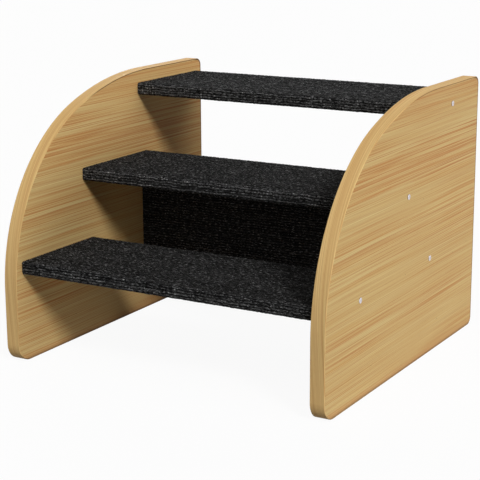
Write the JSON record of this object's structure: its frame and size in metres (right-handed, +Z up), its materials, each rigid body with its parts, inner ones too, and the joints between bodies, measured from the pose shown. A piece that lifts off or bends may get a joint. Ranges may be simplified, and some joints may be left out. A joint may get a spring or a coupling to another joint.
{
  "type": "pet stairs",
  "caption": "Free-standing pet stairs: carpeted treads screwed between two wood-effect side panels with round front tops, braced by an upright carpeted back board.",
  "frame": {"origin": "bottom centre: on the floor, midway between the panels and midway from front to rear", "axes": "+Z up, the front that the pet climbs from faces -Y, and +X points to the right of a pet that climbs"},
  "size_m": [0.4386, 0.428, 0.33],
  "materials": {
    "panel_wood": "satin wood-grain foil",
    "edge_band": "satin wood-grain strip",
    "board_core": "raw particle board",
    "carpet": "charcoal ribbed pile",
    "screw_steel": "bright zinc",
    "dowel_wood": "raw beech",
    "staple_wire": "galvanised"
  },
  "bodies": {
    "root": {"left_side_panel": "panel_wood", "left_edge_band": "edge_band", "right_side_panel": "panel_wood", "right_edge_band": "edge_band", "lower_tread_board": "board_core", "lower_tread_carpet": "carpet", "lower_tread_screws": "screw_steel", "lower_tread_dowels": "dowel_wood", "lower_tread_staples": "staple_wire", "middle_tread_board": "board_core", "middle_tread_carpet": "carpet", "middle_tread_screws": "screw_steel", "middle_tread_dowels": "dowel_wood", "middle_tread_staples": "staple_wire", "upper_tread_board": "board_core", "upper_tread_carpet": "carpet", "upper_tread_screws": "screw_steel", "upper_tread_dowels": "dowel_wood", "upper_tread_staples": "staple_wire", "back_board": "board_core", "back_board_carpet": "carpet", "back_board_screws": "screw_steel", "back_board_dowels": "dowel_wood", "back_board_staples": "staple_wire"}
  },
  "joints": []
}
